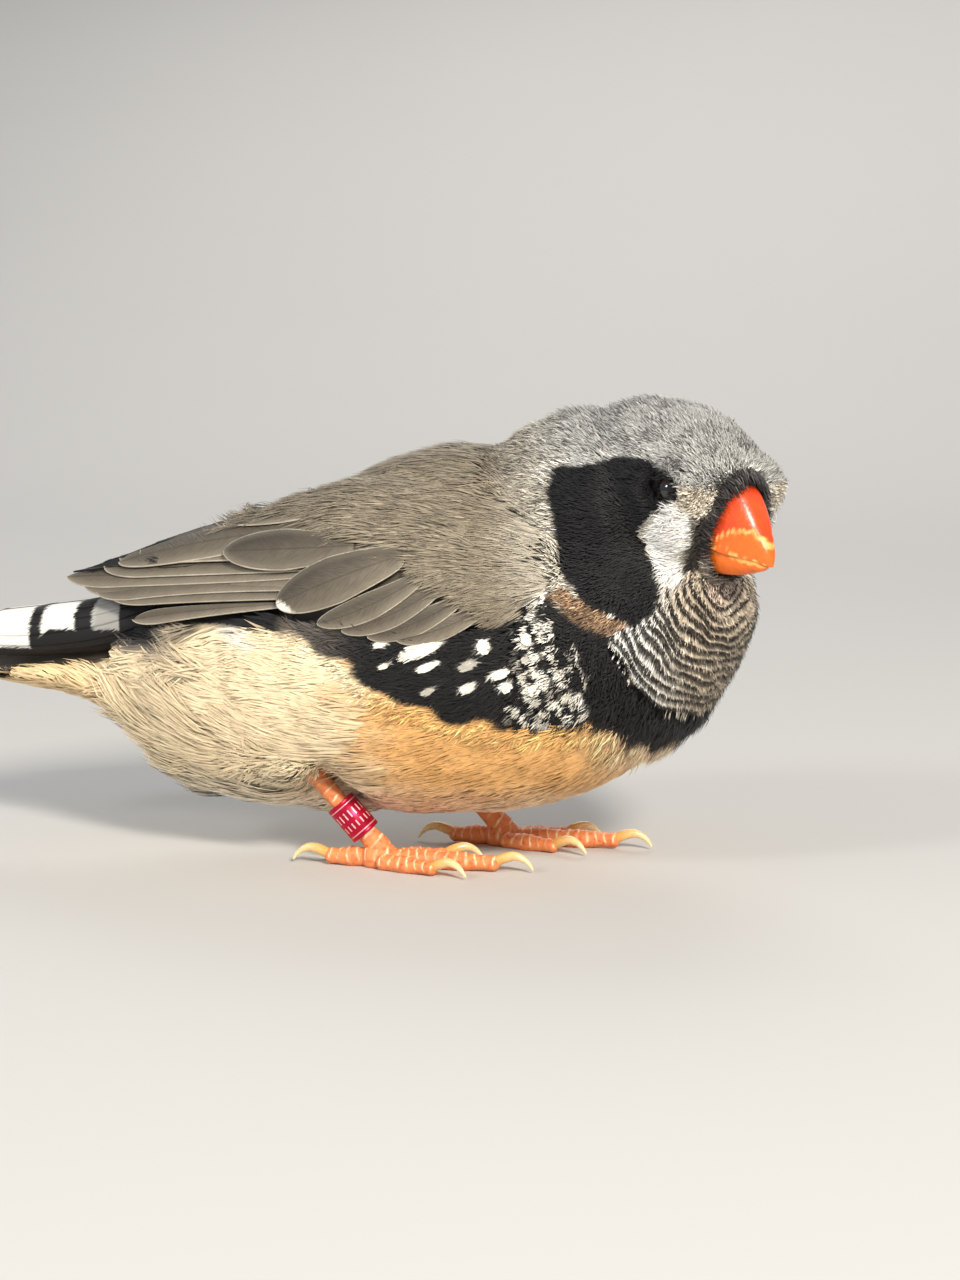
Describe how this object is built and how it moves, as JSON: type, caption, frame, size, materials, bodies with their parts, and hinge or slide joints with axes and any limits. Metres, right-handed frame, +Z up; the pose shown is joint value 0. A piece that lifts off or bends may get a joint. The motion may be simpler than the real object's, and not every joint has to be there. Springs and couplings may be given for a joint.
{
  "type": "zebra finch",
  "caption": "Life-size still model of a crouching male zebra finch, head turned to its right, with a plain ring on its right leg.",
  "frame": {"origin": "under the middle of the bounding box, on the floor that the bird stands on", "axes": "+X the way the body faces, +Y the bird's left side, +Z up"},
  "size_m": [0.1108, 0.0382, 0.0549],
  "materials": {
    "plumage_grey": "soft mottled grey feathers with black cheeks and white lores",
    "plumage_barred": "soft feathers, finely barred dark on beige-grey",
    "plumage_buff": "soft loose buff and cream feathers with black, white-spotted flanks",
    "plumage_black": "smooth black feathers, the coverts with square white bars",
    "plumage_brown": "smooth brown-grey vanes with fine pale edges",
    "bill_red": "waxy red-orange horn with worn pale edges",
    "bill_orange": "waxy orange horn",
    "eye": "wet and glossy, dark brown to black",
    "leg": "scaly orange-pink skin with pale scale edges",
    "claw": "pale translucent horn",
    "band": "crimson anodised metal"
  },
  "bodies": {
    "root": {"head": "plumage_grey", "neck": "plumage_barred", "trunk": "plumage_buff", "undertail_coverts": "plumage_buff", "thigh_right": "plumage_buff", "thigh_left": "plumage_buff", "uppertail_coverts": "plumage_black", "tail": "plumage_black", "wing_right_coverts": "plumage_brown", "wing_right_secondaries": "plumage_brown", "wing_right_primaries": "plumage_brown", "wing_left_coverts": "plumage_brown", "wing_left_secondaries": "plumage_brown", "wing_left_primaries": "plumage_brown", "bill_upper": "bill_red", "bill_lower": "bill_orange", "eye_right": "eye", "eye_left": "eye", "tarsus_right": "leg", "tarsus_left": "leg", "toe_inner_right": "leg", "toe_middle_right": "leg", "toe_outer_right": "leg", "toe_hind_right": "leg", "toe_inner_left": "leg", "toe_middle_left": "leg", "toe_outer_left": "leg", "toe_hind_left": "leg", "toe_inner_right_claw": "claw", "toe_middle_right_claw": "claw", "toe_outer_right_claw": "claw", "toe_hind_right_claw": "claw", "toe_inner_left_claw": "claw", "toe_middle_left_claw": "claw", "toe_outer_left_claw": "claw", "toe_hind_left_claw": "claw", "leg_band": "band"}
  },
  "joints": []
}
